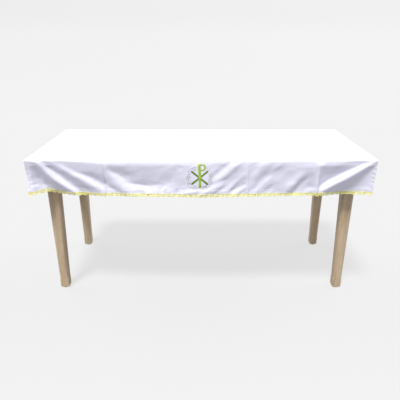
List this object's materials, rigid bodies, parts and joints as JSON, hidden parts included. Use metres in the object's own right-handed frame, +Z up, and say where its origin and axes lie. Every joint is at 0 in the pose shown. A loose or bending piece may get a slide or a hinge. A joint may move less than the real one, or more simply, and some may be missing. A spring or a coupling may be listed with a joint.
{
  "type": "communion table with altar cloth",
  "caption": "Long framed wooden table on square tapered legs, dressed with a white boxed cloth with gold lace at its hem and a green embroidered monogram.",
  "frame": {"origin": "on the floor under the middle of the table", "axes": "+X to the right seen from the front, along the table; +Y from the front to the back; +Z up"},
  "size_m": [2.004, 0.8068, 0.902],
  "materials": {
    "oak": "limed oak, satin oil",
    "zinc_steel": "zinc plated",
    "foot_nylon": "moulded nylon",
    "white_cloth": "satin-faced white cloth",
    "gold_lace": "metallic gold lace",
    "white_thread": "white embroidery thread",
    "dark_green_thread": "satin-stitched thread",
    "light_green_thread": "satin-stitched thread"
  },
  "bodies": {
    "table": {"apron_back": "oak", "apron_front": "oak", "apron_left": "oak", "apron_right": "oak", "bearer_centre": "oak", "bearer_left": "oak", "bearer_right": "oak", "brace_screw_1": "zinc_steel", "brace_screw_2": "zinc_steel", "brace_screw_3": "zinc_steel", "brace_screw_4": "zinc_steel", "brace_screw_5": "zinc_steel", "brace_screw_6": "zinc_steel", "brace_screw_7": "zinc_steel", "brace_screw_8": "zinc_steel", "breadboard_left": "oak", "breadboard_right": "oak", "button_screw_1": "zinc_steel", "button_screw_2": "zinc_steel", "button_screw_3": "zinc_steel", "button_screw_4": "zinc_steel", "button_screw_5": "zinc_steel", "button_screw_6": "zinc_steel", "button_screw_7": "zinc_steel", "button_screw_8": "zinc_steel", "corner_brace_back_left": "oak", "corner_brace_back_right": "oak", "corner_brace_front_left": "oak", "corner_brace_front_right": "oak", "foot_insert_back_left": "zinc_steel", "foot_insert_back_right": "zinc_steel", "foot_insert_front_left": "zinc_steel", "foot_insert_front_right": "zinc_steel", "leg_back_left": "oak", "leg_back_right": "oak", "leg_front_left": "oak", "leg_front_right": "oak", "top_board_1": "oak", "top_board_2": "oak", "top_board_3": "oak", "top_board_4": "oak", "top_board_5": "oak", "top_button_1": "oak", "top_button_2": "oak", "top_button_3": "oak", "top_button_4": "oak", "top_button_5": "oak", "top_button_6": "oak", "top_button_7": "oak", "top_button_8": "oak"},
    "cloth": {"altar_cloth": "white_cloth", "lace_trim": "gold_lace", "emblem_halo": "white_thread", "emblem_chi": "dark_green_thread", "emblem_rho": "light_green_thread"},
    "foot_front_left": {"foot_front_left": "foot_nylon"},
    "foot_front_right": {"foot_front_right": "foot_nylon"},
    "foot_back_left": {"foot_back_left": "foot_nylon"},
    "foot_back_right": {"foot_back_right": "foot_nylon"}
  },
  "joints": [
    {"name": "cloth_lift", "type": "slide", "parent": "table", "child": "cloth", "axis": [0, 0, 1], "range_m": [0, 0.3]},
    {"name": "foot_front_left_screw", "type": "slide", "parent": "table", "child": "foot_front_left", "axis": [0, 0, -1], "range_m": [0, 0.015]},
    {"name": "foot_front_right_screw", "type": "slide", "parent": "table", "child": "foot_front_right", "axis": [0, 0, -1], "range_m": [0, 0.015]},
    {"name": "foot_back_left_screw", "type": "slide", "parent": "table", "child": "foot_back_left", "axis": [0, 0, -1], "range_m": [0, 0.015]},
    {"name": "foot_back_right_screw", "type": "slide", "parent": "table", "child": "foot_back_right", "axis": [0, 0, -1], "range_m": [0, 0.015]}
  ]
}
